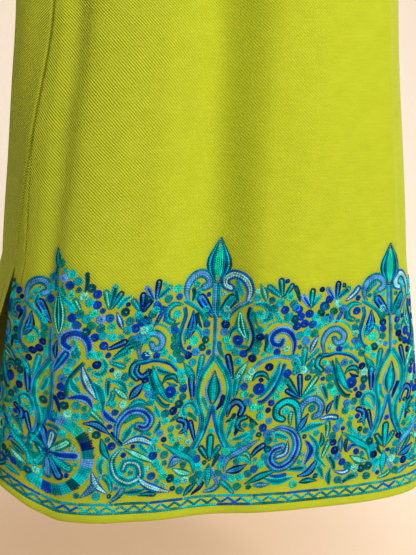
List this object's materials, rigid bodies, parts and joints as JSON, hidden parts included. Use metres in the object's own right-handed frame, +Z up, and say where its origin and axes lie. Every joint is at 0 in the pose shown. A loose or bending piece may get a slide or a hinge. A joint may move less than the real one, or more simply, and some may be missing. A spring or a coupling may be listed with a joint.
{
  "type": "pheran",
  "caption": "Pheran: long loose wool-twill tunic with straight sleeves, round neck and open side slits, hollow as when worn, embroidered along the hem",
  "frame": {"origin": "midway between the high shoulder points, where the wearer's shoulders carry the garment", "axes": "+X to the right as seen from the front, -Y out of the front, +Z up"},
  "size_m": [1.2962, 0.253, 1.1507],
  "materials": {
    "wool_twill": "lime green wool twill, matt, with a fine diagonal rib"
  },
  "bodies": {
    "root": {"front": "wool_twill", "back": "wool_twill", "sleeve_left": "wool_twill", "sleeve_right": "wool_twill"}
  },
  "joints": []
}
